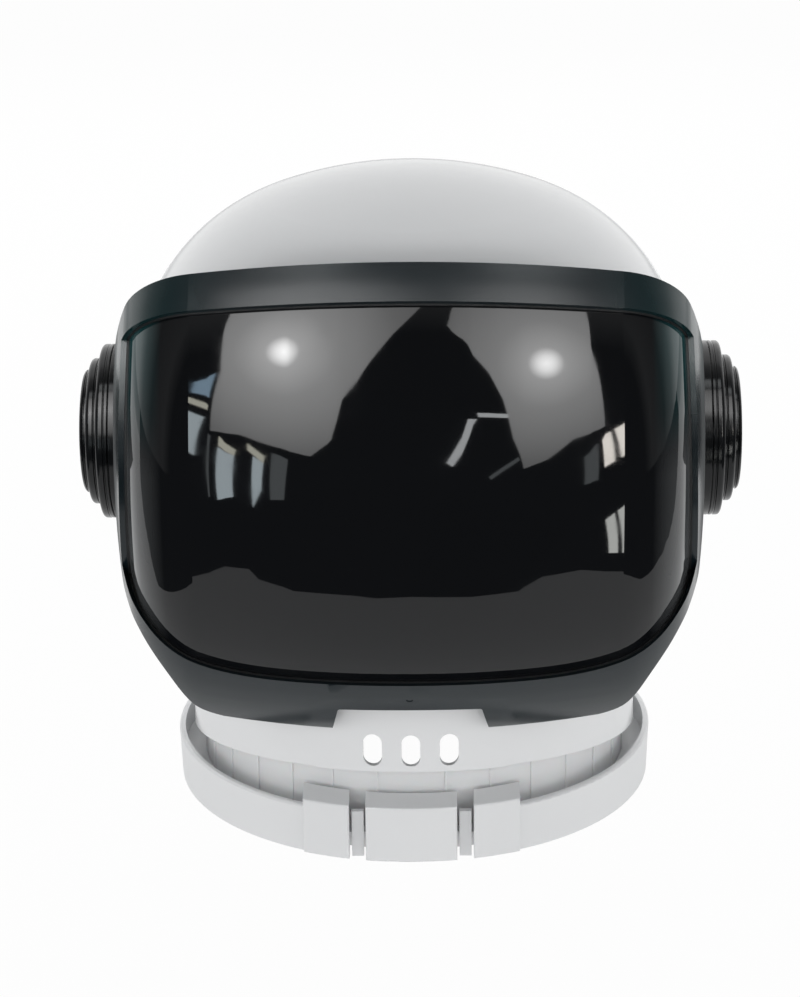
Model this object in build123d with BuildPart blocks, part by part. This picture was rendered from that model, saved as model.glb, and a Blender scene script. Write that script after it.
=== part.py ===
from build123d import *
from math import acos, asin, atan, cos, degrees, hypot, radians, sin, sqrt, tan
import os

# Wearable astronaut helmet with a swing-up visor, in millimetres.
# The origin is the centre of the neck opening at the foot of the ring; +Z is up and the face looks along -Y.

# Places of the main axes
pivot_height = 181.5
pivot_forward = 5.0
seam_behind_axis = 55.0

# Shell: heights are from the visor's pivot axis, radii from the neck axis
shell_wall = 3.0
dome_height = 132.0
shell_radius = 137.4
shoulder_arc_radius = 100.0
shoulder_arc_height = 25.0
waist_arc_drop = 15.0
waist_arc_radius = 150.0
waist_radius = 112.3
collar_radius = 113.0
waist_blend = 14.0
lip_front_height = 44.1
lip_slope = 0.17
seam_lap = 6.0
seam_tongue = 1.4
seam_clearance = 0.1

# Face opening in the front shell
opening_width = 224.0
opening_height = 155.0
opening_corner = 55.0
opening_drop = 2.5

# Chin
vent_count = 3
vent_pitch = 18.4
vent_width = 9.0
vent_height = 16.3
vent_drop = 127.3
chin_tab_width = 93.0
chin_tab_hang = 0.9
chin_step_depth = 0.7
chin_step_height = 46.6
chin_step_slope = 0.36

# Pivot stack on each side, from the inside out
boss_radius = 40.0
boss_face = 138.4
boss_root = 118.0
seat_radius = 14.0
seat_face = 130.0
bolt_radius = 4.0
bolt_head_radius = 7.0
bolt_head_height = 3.2
bolt_clearance = 0.1
bush_radius = 8.0
running_clearance = 0.05
friction_washer_radius = 22.0
friction_washer_thickness = 1.0
hub_end_play = 0.2
pivot_washer_radius = 14.0
pivot_washer_thickness = 1.5
nut_across_flats = 13.0
nut_height = 6.0
bolt_past_nut = 1.2
stop_pin_radius = 2.4
stop_pin_orbit = 27.0
stop_pin_angle = 220.0
stop_pin_reach = 2.2
stop_slot_clearance = 0.4
visor_travel = 80.0

# Visor: a barrel turned about the pivot axis
visor_wall = 2.6
visor_radius = 158.0
visor_half_width = boss_face + friction_washer_thickness + visor_wall
side_flat_radius = 50.0
corner_half_width = 122.9
corner_radius_from_axis = 143.7
corner_blend = 42.0
frame_top_angle = 46.7
frame_bottom_angle = 47.7
hub_radius = 46.0
hub_blend = 14.0
window_top_angle = 39.4
window_side_radius = 108.0
window_side_rise = 12.0
notch_top_width = 68.0
notch_bottom_width = 75.0
notch_height = 17.26
notch_corner = 1.2
gate_mark_radius = 1.6
gate_mark_depth = 0.4
gate_mark_rise = 24.9
# Front-view outline of the frame's lower edge, as shares of half width and radius
frame_edge_shares = (
    (1.10, -0.290), (1.02, -0.292), (0.944, -0.330), (0.873, -0.418), (0.795, -0.540),
    (0.757, -0.610), (0.712, -0.668), (0.600, -0.712), (0.420, -0.745), (0.0, -0.770),
)
# Front-view outline of the window's lower edge, in the same shares
window_edge_shares = (
    (0.985, 0.050), (0.972, -0.120), (0.944, -0.250), (0.899, -0.308), (0.819, -0.390),
    (0.727, -0.447), (0.596, -0.487), (0.373, -0.511), (0.0, -0.519),
)

# Lens and its gasket
lens_thickness = 2.0
lens_lap = 9.0
lens_edge_margin = 1.0
gasket_thickness = 1.0
gasket_show = 0.8
seat_gap = 0.05
lens_screw_radius = 1.25
lens_screw_head_radius = 2.3
lens_screw_head_height = 0.9
lens_screw_bite = 1.4
lens_screw_clearance = 0.15
lens_screw_inset = 5.0
lens_screw_top_shares = (0.716, 0.244)
lens_screw_edge_points = (6, 7)

# Side knobs
knob_base_radius = 43.5
knob_base_height = 5.3
knob_base_floor = 2.2
knob_base_hole = 17.0
knob_wall = 3.0
knob_groove = 0.5
knob_step_radii = (43.5, 36.4, 30.8)
knob_step_heights = (5.6, 5.7, 3.5)
knob_step_round = 1.9
knob_bead_radius = 0.55
knob_bead_share = 0.3
knob_spigot_clearance = 0.2
knob_spigot_wall = 2.2
knob_screw_orbit = 32.0
knob_screw_turns = (-70.0, 0.0, 70.0)
knob_screw_radius = 1.4
knob_screw_head_radius = 2.8
knob_screw_head_height = 1.8
knob_screw_bite = 1.8

# Neck band
band_bore_radius = 104.5
band_wall = 2.7
band_height = 42.5
rib_width = 1.2
rib_rise = 0.8
rib_top = 41.0
rib_first_angle = 9.0
rib_pitch_angle = 12.0
rib_count_per_quarter = 7

# Neck ring
ring_radius = 121.0
ring_draft = 1.0
ring_height = 24.5
ring_wall = 3.0
ring_shelf_height = 12.0
ring_edge_round = 1.2
ring_clearance = 0.3
block_rise = 3.2
block_foot = 1.0
block_front_height = 29.2
block_back_height = 31.4
block_back_radius = 111.0
block_center_width = 44.0
block_side_width = 22.4
block_gap = 8.0
block_round = 1.0
bar_forward = 114.6
bar_depth = 3.0
bar_width = 5.8
bar_height = 23.6
ring_web_count = 6
ring_web_thickness = 2.0
ring_web_foot = 2.0

# Fasteners of the neck
ring_screw_count = 6
ring_screw_start_angle = 60.0
ring_screw_orbit = 112.0
ring_screw_radius = 1.5
ring_screw_head_radius = 3.0
ring_screw_head_height = 2.2
ring_screw_bite = 1.8
lug_radius = 4.6
lug_height = 5.0
collar_screw_angles = (75.0, 130.0, 180.0, 230.0, 285.0)
collar_screw_height = 34.0
collar_screw_radius = 1.5
collar_screw_head_radius = 3.0
collar_screw_head_depth = 1.5
collar_screw_bite = 1.6
collar_boss_radius = 4.5
collar_boss_gap = 0.1

# Lugs and screws of the shell seam
seam_lug_size = 14.0
seam_lug_depth = 8.0
seam_lug_reach = 11.0
seam_lug_lower = (110.0, -22.0)
seam_lug_upper = (82.0, 88.0)
seam_screw_radius = 2.0
seam_screw_head_radius = 3.8
seam_screw_head_height = 2.6
seam_screw_clearance = 0.15
seam_screw_tip = 2.0

# Pads
pad_gap = 0.3
pad_thickness = 23.0
pad_round = 7.0
crown_pad_radius = 62.0
crown_pad_bottom = 104.0
rear_pad_width = 118.0
rear_pad_height = 88.0
rear_pad_drop = 8.0
cheek_pad_length = 78.0
cheek_pad_height = 52.0
cheek_pad_drop = 74.0
cheek_pad_forward = 14.0
cheek_pad_least_width = 62.0

# One overrun for every cut that passes through
overrun = 20.0

os.makedirs("parts", exist_ok=True)

front_plane = Plane(origin=(0, -pivot_forward, pivot_height), x_dir=(1, 0, 0), z_dir=(0, -1, 0))
side_plane = Plane(origin=(0, -pivot_forward, pivot_height), x_dir=(0, -1, 0), z_dir=(-1, 0, 0))
pivot_axis = Axis((0, -pivot_forward, pivot_height), (1, 0, 0))
seam_plane = Plane.XZ.offset(-seam_behind_axis)
sides = {"left": -1, "right": 1}

# Arc of the visor's outline across the front
crown_sag = visor_radius - corner_radius_from_axis
crown_arc_radius = (corner_half_width**2 + crown_sag**2) / (2 * crown_sag)


def outward_plane(side, distance):
    """Plane square to the pivot axis, facing away from the head on one side, with its Y upwards."""
    return Plane(
        origin=(side * distance, -pivot_forward, pivot_height),
        x_dir=(0, side, 0),
        z_dir=(side, 0, 0),
    )


def local_angle(side, angle):
    """Angle on an outward plane of a direction given from straight ahead, upwards positive."""
    return angle if side < 0 else 180 - angle


def save(piece, name):
    piece.part.label = name
    export_step(piece.part, "parts/" + name + ".step")


def normal_of(start, end):
    """Unit vector square to the way from start to end, on its right going down."""
    run, fall = end[0] - start[0], end[1] - start[1]
    return (-fall / hypot(run, fall), run / hypot(run, fall))


def inset_corner(corner, first_normal, second_normal, inset):
    """Corner between two lines that are both moved inwards by inset."""
    share = inset / (1 + first_normal[0] * second_normal[0] + first_normal[1] * second_normal[1])
    return tuple(c - share * (a + b) for c, a, b in zip(corner, first_normal, second_normal))


# Shell outline, half of it, turned about the neck axis
def shell_outline(inset):
    """Right half of the shell's section in the XZ plane, moved inwards by inset."""
    crown_offset = shell_radius - shoulder_arc_radius
    rise = dome_height - shoulder_arc_height
    crown_radius = (crown_offset**2 + rise**2 - shoulder_arc_radius**2) / (2 * (rise - shoulder_arc_radius))
    crown_center = pivot_height + dome_height - crown_radius
    shoulder_center = pivot_height + shoulder_arc_height
    lean = atan(crown_offset / (shoulder_center - crown_center))
    crown = crown_radius - inset
    shoulder = shoulder_arc_radius - inset
    turn = (radians(90) - lean) / 2
    join = (crown * sin(lean), crown_center + crown * cos(lean))
    belly = pivot_height - waist_arc_drop
    belly_turn = acos(1 - (shell_radius - waist_radius) / waist_arc_radius)
    waist = (waist_radius, belly - waist_arc_radius * sin(belly_turn))
    collar = (collar_radius, ring_height)
    cone_normal = normal_of(waist, collar)
    waist = inset_corner(waist, (cos(belly_turn), -sin(belly_turn)), cone_normal, inset)
    collar = inset_corner(collar, cone_normal, (1, 0), inset)
    with BuildSketch() as outline:
        with BuildLine():
            ThreePointArc(
                (0, crown_center + crown),
                (crown * sin(lean / 2), crown_center + crown * cos(lean / 2)),
                join,
            )
            ThreePointArc(
                join,
                (crown_offset + shoulder * cos(turn), shoulder_center + shoulder * sin(turn)),
                (shell_radius - inset, shoulder_center),
            )
            Line((shell_radius - inset, shoulder_center), (shell_radius - inset, belly))
            TangentArc((shell_radius - inset, belly), waist, tangent=(0, -1))
            Polyline(waist, collar, (collar[0], -overrun), (0, -overrun), (0, crown_center + crown))
        make_face()
        fillet(outline.vertices().sort_by_distance(waist)[0], waist_blend + inset)
    return outline.sketch


# Visor outline, half of it, turned about the pivot axis
def visor_outline(inset):
    """Upper half of the visor barrel's section: X along the pivot axis, Y away from it."""
    side_rise = corner_radius_from_axis - side_flat_radius
    side_in = visor_half_width - corner_half_width
    side_turn = asin(2 * side_rise * side_in / (side_rise**2 + side_in**2))
    corner = inset_corner(
        (corner_half_width, corner_radius_from_axis),
        (cos(side_turn), sin(side_turn)),
        (corner_half_width / crown_arc_radius, sqrt(1 - (corner_half_width / crown_arc_radius) ** 2)),
        inset,
    )
    half_width = visor_half_width - inset
    with BuildSketch() as outline:
        with BuildLine():
            Polyline(
                (-half_width, side_flat_radius),
                (-half_width, 0),
                (half_width, 0),
                (half_width, side_flat_radius),
            )
            TangentArc((half_width, side_flat_radius), corner, tangent=(0, 1))
            ThreePointArc(corner, (0, visor_radius - inset), (-corner[0], corner[1]))
            TangentArc((-half_width, side_flat_radius), (-corner[0], corner[1]), tangent=(0, 1))
        make_face()
        corners = [outline.vertices().sort_by_distance((s * corner[0], corner[1]))[0] for s in (-1, 1)]
        fillet(corners, corner_blend - inset)
    return outline.sketch


def front_edge_region(shares, margin):
    """Region above a lower edge given in front-view shares, grown by margin."""
    points = [(x * visor_half_width, y * visor_radius) for x, y in shares]
    points += [(-x, y) for x, y in reversed(points[:-1])]
    grown = []
    for k, point in enumerate(points):
        normal = normal_of(points[max(k - 1, 0)], points[min(k + 1, len(points) - 1)])
        grown.append((point[0] + margin * normal[0], point[1] + margin * normal[1]))
    reach = visor_half_width * 2
    with BuildSketch() as region:
        with BuildLine():
            Spline(*grown)
            Polyline(
                grown[0],
                (reach, grown[0][1]),
                (reach, reach),
                (-reach, reach),
                (-reach, grown[0][1]),
                grown[-1],
            )
        make_face()
    return region.sketch


def window_space(margin):
    """Space of the window through the visor's wall, grown by margin."""
    top = radians(window_top_angle + degrees(margin / visor_radius))
    reach = visor_radius * 2
    with BuildPart() as space:
        with BuildSketch(side_plane):
            Polygon(
                (0, 0),
                (reach * cos(top), reach * sin(top)),
                (reach, 0),
                (reach, -reach),
                (0, -reach),
                align=None,
            )
            with Locations((0, window_side_rise)):
                Circle(window_side_radius - margin, mode=Mode.SUBTRACT)
            Rectangle(reach, 2 * reach, align=(Align.MAX, Align.CENTER), mode=Mode.SUBTRACT)
        extrude(amount=visor_half_width + overrun, both=True)
        with BuildSketch(front_plane):
            add(front_edge_region(window_edge_shares, margin))
        extrude(amount=reach, mode=Mode.INTERSECT)
    return space.part


def turned(outline, plane, axis):
    """Solid of revolution of an outline."""
    with BuildPart() as body:
        with BuildSketch(plane):
            add(outline)
        revolve(axis=axis)
    return body.part


def neck_turned(inset):
    return turned(shell_outline(inset), Plane.XZ, Axis.Z)


def pivot_turned(inset):
    return turned(visor_outline(inset), front_plane, pivot_axis)


shell_solid = neck_turned(0)
shell_hollow = neck_turned(shell_wall)
shell_tongue_outside = neck_turned(shell_wall - seam_tongue)
shell_rebate_outside = neck_turned(shell_wall - seam_tongue - seam_clearance)
shell_middle = neck_turned(seam_tongue / 2)
pad_outside = neck_turned(shell_wall + pad_gap)
pad_inside = neck_turned(shell_wall + pad_gap + pad_thickness)

lip_plane = Plane(
    origin=(0, -collar_radius, lip_front_height),
    x_dir=(1, 0, 0),
    z_dir=(0, lip_slope, 1),
)
chin_plane = Plane(
    origin=(0, -collar_radius, chin_step_height),
    x_dir=(1, 0, 0),
    z_dir=(0, chin_step_slope, 1),
)
lip_floor = ring_height + ring_clearance


def seam_layer(outside, length):
    """What lies within a solid over a short length in front of the seam."""
    with BuildPart() as layer:
        with BuildSketch(seam_plane):
            Rectangle(4 * shell_radius, 8 * shell_radius)
        extrude(amount=length)
        add(outside, mode=Mode.INTERSECT)
    return layer.part


# Places of the seam lugs, mirrored left and right
seam_lug_places = [(s * x, z) for s in (-1, 1) for x, z in (seam_lug_lower, seam_lug_upper)]


def seam_lug_shapes(margin):
    """Outlines of the seam lugs on the seam plane, grown by margin."""
    with BuildSketch() as shapes:
        for x, z in seam_lug_places:
            with Locations((x + (seam_lug_reach / 2 if x > 0 else -seam_lug_reach / 2), pivot_height + z)):
                RectangleRounded(
                    seam_lug_size + seam_lug_reach + 2 * margin,
                    seam_lug_size + 2 * margin,
                    seam_lug_size / 4,
                )
    return shapes.sketch


def seam_lugs(behind):
    """Lugs inside the shell, on one side of the seam, kept within its wall."""
    with BuildPart() as lugs:
        with BuildSketch(seam_plane):
            add(seam_lug_shapes(0))
        extrude(amount=-seam_lug_depth if behind else seam_lug_depth)
        add(shell_middle, mode=Mode.INTERSECT)
    return lugs.part


def collar_bosses(angles):
    """Bosses inside the collar that the radial screws bite into."""
    with BuildPart() as bosses:
        for angle in angles:
            direction = (sin(radians(angle)), -cos(radians(angle)), 0)
            start = band_bore_radius + band_wall + collar_boss_gap
            spot = Plane(
                origin=(start * direction[0], start * direction[1], collar_screw_height),
                z_dir=direction,
            )
            with BuildSketch(spot):
                Circle(collar_boss_radius)
            extrude(amount=collar_radius - shell_wall / 2 - start)
            with BuildSketch(spot):
                Circle(collar_screw_radius)
            extrude(amount=collar_screw_bite + collar_radius - shell_wall - start, mode=Mode.SUBTRACT)
    return bosses.part


front_angles = [a for a in collar_screw_angles if -cos(radians(a)) * collar_radius < 0]
rear_angles = [a for a in collar_screw_angles if a not in front_angles]


def collar_pilots(angles):
    """Pilot holes of the radial screws in the shell's wall."""
    with BuildPart() as pilots:
        for angle in angles:
            direction = (sin(radians(angle)), -cos(radians(angle)), 0)
            start = band_bore_radius + band_wall
            spot = Plane(
                origin=(start * direction[0], start * direction[1], collar_screw_height),
                z_dir=direction,
            )
            with BuildSketch(spot):
                Circle(collar_screw_radius)
            extrude(amount=collar_radius - shell_wall + collar_screw_bite - start)
    return pilots.part


# What is cut away under the front shell's lip, less the tab that hangs below the vents
with BuildPart() as below_lip:
    with BuildSketch(lip_plane):
        Rectangle(4 * shell_radius, 4 * shell_radius)
    extrude(amount=-shell_radius)
    with BuildSketch(lip_plane):
        Rectangle(chin_tab_width, collar_radius)
    extrude(amount=-chin_tab_hang, mode=Mode.SUBTRACT)

# Shallow step round the foot of the chin tab
with BuildPart() as chin_step:
    add(neck_turned(-chin_step_depth))
    add(neck_turned(chin_step_depth), mode=Mode.SUBTRACT)
    with BuildSketch(Plane.XZ.offset(collar_radius / 2)):
        with Locations((0, chin_step_height)):
            Rectangle(chin_tab_width, 2 * chin_step_height)
    extrude(amount=shell_radius, mode=Mode.INTERSECT)
    split(bisect_by=chin_plane, keep=Keep.BOTTOM)

# Front shell with face opening, pivot bosses and chin vents
with BuildPart() as front_shell:
    add(shell_solid)
    for side in sides.values():
        with BuildSketch(outward_plane(side, boss_root)):
            Circle(boss_radius)
        extrude(amount=boss_face - boss_root)
    add(shell_hollow, mode=Mode.SUBTRACT)
    split(bisect_by=seam_plane, keep=Keep.TOP)
    add(below_lip.part, mode=Mode.SUBTRACT)
    split(bisect_by=Plane.XY.offset(lip_floor), keep=Keep.TOP)
    add(chin_step.part, mode=Mode.SUBTRACT)
    # Rebate that takes the rear shell's tongue
    add(seam_layer(shell_rebate_outside, seam_lap + seam_clearance), mode=Mode.SUBTRACT)
    add(seam_lugs(False))
    with BuildSketch(front_plane):
        with Locations((0, -opening_drop)):
            RectangleRounded(opening_width, opening_height, opening_corner)
    extrude(amount=visor_radius, mode=Mode.SUBTRACT)
    with BuildSketch(Plane.XZ):
        with Locations((0, pivot_height - vent_drop)):
            with GridLocations(vent_pitch, 0, vent_count, 1):
                SlotOverall(vent_height, vent_width, rotation=90)
    extrude(amount=visor_radius, mode=Mode.SUBTRACT)
    for side in sides.values():
        with BuildSketch(outward_plane(side, seat_face)):
            Circle(seat_radius)
        extrude(amount=boss_face - seat_face - friction_washer_thickness)
        with BuildSketch(outward_plane(side, boss_face)):
            with PolarLocations(stop_pin_orbit, 1, start_angle=local_angle(side, stop_pin_angle)):
                Circle(stop_pin_radius)
        extrude(amount=stop_pin_reach + friction_washer_thickness)
        with BuildSketch(outward_plane(side, boss_root)):
            Circle(bolt_radius + bolt_clearance)
        extrude(amount=boss_face, mode=Mode.SUBTRACT)
    add(collar_bosses(front_angles))
    add(collar_pilots(front_angles), mode=Mode.SUBTRACT)
    with BuildSketch(seam_plane):
        with Locations(*[(x, pivot_height + z) for x, z in seam_lug_places]):
            Circle(seam_screw_radius)
    extrude(amount=seam_lug_depth - seam_screw_tip, mode=Mode.SUBTRACT)
save(front_shell, "front_shell")

# Rear shell with the tongue that laps into the front shell
with BuildPart() as seam_lip:
    add(seam_layer(shell_tongue_outside, seam_lap))
    add(shell_hollow, mode=Mode.SUBTRACT)
    split(bisect_by=Plane.XY.offset(lip_floor), keep=Keep.TOP)
    with BuildSketch(seam_plane):
        add(seam_lug_shapes(seam_clearance))
    extrude(amount=seam_lap, mode=Mode.SUBTRACT)

with BuildPart() as rear_shell:
    add(shell_solid)
    add(shell_hollow, mode=Mode.SUBTRACT)
    split(bisect_by=Plane.XY.offset(lip_floor), keep=Keep.TOP)
    split(bisect_by=seam_plane, keep=Keep.BOTTOM)
    add(seam_lip.part)
    add(seam_lugs(True))
    with BuildSketch(seam_plane):
        with Locations(*[(x, pivot_height + z) for x, z in seam_lug_places]):
            Circle(seam_screw_radius + seam_screw_clearance)
    extrude(amount=-seam_lug_depth, mode=Mode.SUBTRACT)
    add(collar_bosses(rear_angles))
    add(collar_pilots(rear_angles), mode=Mode.SUBTRACT)
save(rear_shell, "rear_shell")

# Screws of the shell seam, driven forwards from inside the rear
with BuildPart() as seam_screws:
    with BuildSketch(seam_plane.offset(-seam_lug_depth)):
        with Locations(*[(x, pivot_height + z) for x, z in seam_lug_places]):
            Circle(seam_screw_radius)
    extrude(amount=2 * seam_lug_depth - seam_screw_tip)
    with BuildSketch(seam_plane.offset(-seam_lug_depth)):
        with Locations(*[(x, pivot_height + z) for x, z in seam_lug_places]):
            Circle(seam_screw_head_radius)
    extrude(amount=-seam_screw_head_height)
save(seam_screws, "seam_screws")

# Neck band with thin upright ribs and the lugs of the ring screws
lug_top = ring_shelf_height - ring_wall
rib_angles = [rib_first_angle + k * rib_pitch_angle for k in range(rib_count_per_quarter)]
rib_angles = [s * a + turn for turn in (0, 180) for s in (-1, 1) for a in rib_angles]
with BuildPart() as neck_band:
    with BuildSketch(Plane.XZ):
        with Locations((band_bore_radius, 0)):
            Rectangle(band_wall, band_height, align=Align.MIN)
    revolve(axis=Axis.Z)
    with BuildSketch(Plane.XY.offset(lug_top)):
        with PolarLocations(ring_screw_orbit, ring_screw_count, start_angle=ring_screw_start_angle):
            Circle(lug_radius)
            with Locations((-ring_screw_orbit + band_bore_radius + band_wall / 2, 0)):
                Rectangle(
                    ring_screw_orbit - band_bore_radius,
                    2 * lug_radius,
                    align=(Align.MIN, Align.CENTER),
                )
    extrude(amount=-lug_height)
    with BuildSketch(Plane.XY.offset(lug_top)):
        with PolarLocations(ring_screw_orbit, ring_screw_count, start_angle=ring_screw_start_angle):
            Circle(ring_screw_radius + lens_screw_clearance)
    extrude(amount=-lug_height, mode=Mode.SUBTRACT)
    rib_foot = ring_shelf_height + ring_clearance
    with BuildSketch(Plane.XY.offset(rib_foot)):
        for angle in rib_angles:
            with PolarLocations(band_bore_radius + band_wall / 2, 1, start_angle=angle - 90):
                Rectangle(band_wall / 2 + rib_rise, rib_width, align=(Align.MIN, Align.CENTER))
    extrude(amount=rib_top - rib_foot)
    for angle in collar_screw_angles:
        direction = (sin(radians(angle)), -cos(radians(angle)), 0)
        spot = Plane(
            origin=(band_bore_radius * direction[0], band_bore_radius * direction[1], collar_screw_height),
            z_dir=direction,
        )
        with BuildSketch(spot):
            Circle(collar_screw_radius + lens_screw_clearance)
        extrude(amount=band_wall + overrun, both=True, mode=Mode.SUBTRACT)
        with BuildSketch(spot):
            Circle(collar_screw_head_radius + lens_screw_clearance)
        extrude(amount=collar_screw_head_depth, both=True, mode=Mode.SUBTRACT)
save(neck_band, "neck_band")

# Radial screws that hold the shells to the band
with BuildPart() as collar_screws:
    for angle in collar_screw_angles:
        direction = (sin(radians(angle)), -cos(radians(angle)), 0)
        start = band_bore_radius + collar_screw_head_depth
        spot = Plane(
            origin=(start * direction[0], start * direction[1], collar_screw_height),
            z_dir=direction,
        )
        with BuildSketch(spot):
            Circle(collar_screw_radius)
        extrude(amount=collar_radius - shell_wall + collar_screw_bite - start)
        with BuildSketch(spot):
            Circle(collar_screw_head_radius)
        extrude(amount=-collar_screw_head_depth + lens_screw_clearance)
save(collar_screws, "collar_screws")

# Neck ring: an open groove over a shelf, three front blocks and two recessed bars
ring_inner_radius = band_bore_radius + band_wall + ring_clearance
ring_foot_radius = ring_radius - ring_draft
block_face_radius = ring_radius + block_rise
block_side_place = block_center_width / 2 + block_gap + block_side_width / 2
blocks = [(0, block_center_width)]
blocks += [(s * block_side_place, block_side_width) for s in sides.values()]
gap_place = (block_center_width + block_gap) / 2
with BuildPart() as ring_blocks:
    with BuildSketch(Plane.XZ):
        Polygon(
            (ring_foot_radius - ring_wall / 2, block_foot),
            (block_face_radius, block_foot),
            (block_face_radius, block_front_height),
            (block_back_radius, block_back_height),
            (block_back_radius, ring_shelf_height - ring_wall / 2),
            (ring_foot_radius - ring_wall / 2, ring_shelf_height - ring_wall / 2),
            align=None,
        )
    revolve(axis=Axis.Z)
    with BuildSketch(Plane.XY):
        for place, width in blocks:
            with Locations((place, -ring_radius)):
                Rectangle(width, ring_radius)
    extrude(amount=2 * ring_height, mode=Mode.INTERSECT)
    outer_edges = ring_blocks.edges().filter_by(
        lambda e: hypot(e.center().X, e.center().Y) > block_face_radius - block_round
    )
    fillet(outer_edges, block_round)

with BuildPart() as neck_ring:
    with BuildSketch(Plane.XZ):
        with BuildLine():
            Polyline(
                (ring_foot_radius - ring_wall, 0),
                (ring_foot_radius, 0),
                (ring_radius, ring_height),
                (ring_radius - ring_wall, ring_height),
                (ring_radius - ring_wall, ring_shelf_height),
                (ring_inner_radius, ring_shelf_height),
                (ring_inner_radius, ring_shelf_height - ring_wall),
                (ring_foot_radius - ring_wall, ring_shelf_height - ring_wall),
                close=True,
            )
        section = make_face()
        fillet(section.vertices().group_by(Axis.X)[-1], ring_edge_round)
    revolve(axis=Axis.Z)
    # Webs under the shelf, clear of the screw lugs
    with BuildSketch(Plane.XY.offset(ring_web_foot)):
        with PolarLocations(ring_inner_radius, ring_web_count, start_angle=ring_screw_start_angle / 2):
            Rectangle(
                ring_foot_radius - ring_wall / 2 - ring_inner_radius,
                ring_web_thickness,
                align=(Align.MIN, Align.CENTER),
            )
    extrude(amount=lug_top + ring_wall / 2 - ring_web_foot)
    # Gaps between the blocks, with a recessed bar in each
    with BuildSketch(Plane.XY):
        for side in sides.values():
            with Locations((side * gap_place, -bar_forward + bar_depth / 2)):
                Rectangle(block_gap, ring_radius, align=(Align.CENTER, Align.MAX))
    extrude(amount=ring_height, mode=Mode.SUBTRACT)
    add(ring_blocks.part)
    with BuildSketch(Plane.XY):
        for side in sides.values():
            with Locations((side * gap_place, -bar_forward)):
                Rectangle(bar_width, bar_depth, align=(Align.CENTER, Align.MIN))
    extrude(amount=bar_height)
    with BuildSketch(Plane.XY.offset(lug_top)):
        with PolarLocations(ring_screw_orbit, ring_screw_count, start_angle=ring_screw_start_angle):
            Circle(ring_screw_radius)
    extrude(amount=ring_screw_bite, mode=Mode.SUBTRACT)
save(neck_ring, "neck_ring")

# Screws that hold the ring to the band from below
with BuildPart() as ring_screws:
    with BuildSketch(Plane.XY.offset(lug_top - lug_height)):
        with PolarLocations(ring_screw_orbit, ring_screw_count, start_angle=ring_screw_start_angle):
            Circle(ring_screw_radius)
    extrude(amount=lug_height + ring_screw_bite)
    with BuildSketch(Plane.XY.offset(lug_top - lug_height)):
        with PolarLocations(ring_screw_orbit, ring_screw_count, start_angle=ring_screw_start_angle):
            Circle(ring_screw_head_radius)
    extrude(amount=-ring_screw_head_height)
save(ring_screws, "ring_screws")

# Crown pad under the dome
with BuildPart() as crown_pad:
    add(pad_outside)
    with BuildSketch(Plane.XY.offset(pivot_height + crown_pad_bottom)):
        Circle(crown_pad_radius)
    extrude(amount=dome_height, mode=Mode.INTERSECT)
    fillet(crown_pad.edges().group_by(Axis.Z)[0], pad_round)
save(crown_pad, "crown_pad")

# Rear pad behind the head
with BuildPart() as rear_pad:
    add(pad_outside)
    add(pad_inside, mode=Mode.SUBTRACT)
    with BuildSketch(seam_plane.offset(-seam_lug_depth - seam_lap)):
        with Locations((0, pivot_height - rear_pad_drop)):
            RectangleRounded(rear_pad_width, rear_pad_height, 3 * pad_round)
    extrude(amount=-shell_radius, mode=Mode.INTERSECT)
save(rear_pad, "rear_pad")

# Cheek pads under the pivots
for name, side in sides.items():
    with BuildPart() as cheek_pad:
        add(pad_outside)
        add(pad_inside, mode=Mode.SUBTRACT)
        with BuildSketch(outward_plane(side, cheek_pad_least_width)):
            with Locations((-side * cheek_pad_forward, -cheek_pad_drop)):
                RectangleRounded(cheek_pad_length, cheek_pad_height, 2 * pad_round)
        extrude(amount=shell_radius, mode=Mode.INTERSECT)
    save(cheek_pad, name + "_cheek_pad")

# Places of the lens screws, square to the visor's crown arc
def visor_plane(x, angle, inset):
    """Plane on the visor's wall at a depth below its outer face, facing the pivot axis."""
    lean = asin(x / crown_arc_radius)
    away = crown_arc_radius * cos(lean) - crown_arc_radius + visor_radius
    outward = (sin(lean), -cos(lean) * cos(angle), cos(lean) * sin(angle))
    start = (x, -away * cos(angle), away * sin(angle))
    place = [a - inset * b for a, b in zip(start, outward)]
    return Plane(
        origin=(place[0], place[1] - pivot_forward, place[2] + pivot_height),
        x_dir=(cos(lean), sin(lean) * cos(angle), -sin(lean) * sin(angle)),
        z_dir=(-outward[0], -outward[1], -outward[2]),
    )


inset_angle = lens_screw_inset / visor_radius
upper_angle = radians(window_top_angle) + inset_angle
lens_screw_places = []
for side in sides.values():
    for share in lens_screw_top_shares:
        lens_screw_places.append((side * share * corner_half_width, upper_angle))
    for x_share, drop_share in [window_edge_shares[k] for k in lens_screw_edge_points]:
        x = x_share * visor_half_width
        away = sqrt(crown_arc_radius**2 - x**2) - crown_arc_radius + visor_radius
        lens_screw_places.append((side * x, asin(drop_share * visor_radius / away) - inset_angle))
gasket_outer = visor_wall + seat_gap
lens_outer = visor_wall + gasket_thickness
lens_inner = lens_outer + lens_thickness


def lens_screw_holes(radius):
    """Through holes at the lens screws, up to their bite in the frame."""
    with BuildPart() as holes:
        for x, angle in lens_screw_places:
            with BuildSketch(visor_plane(x, angle, visor_wall - lens_screw_bite)):
                Circle(radius)
            extrude(amount=lens_inner + overrun / 2)
    return holes.part


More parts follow.
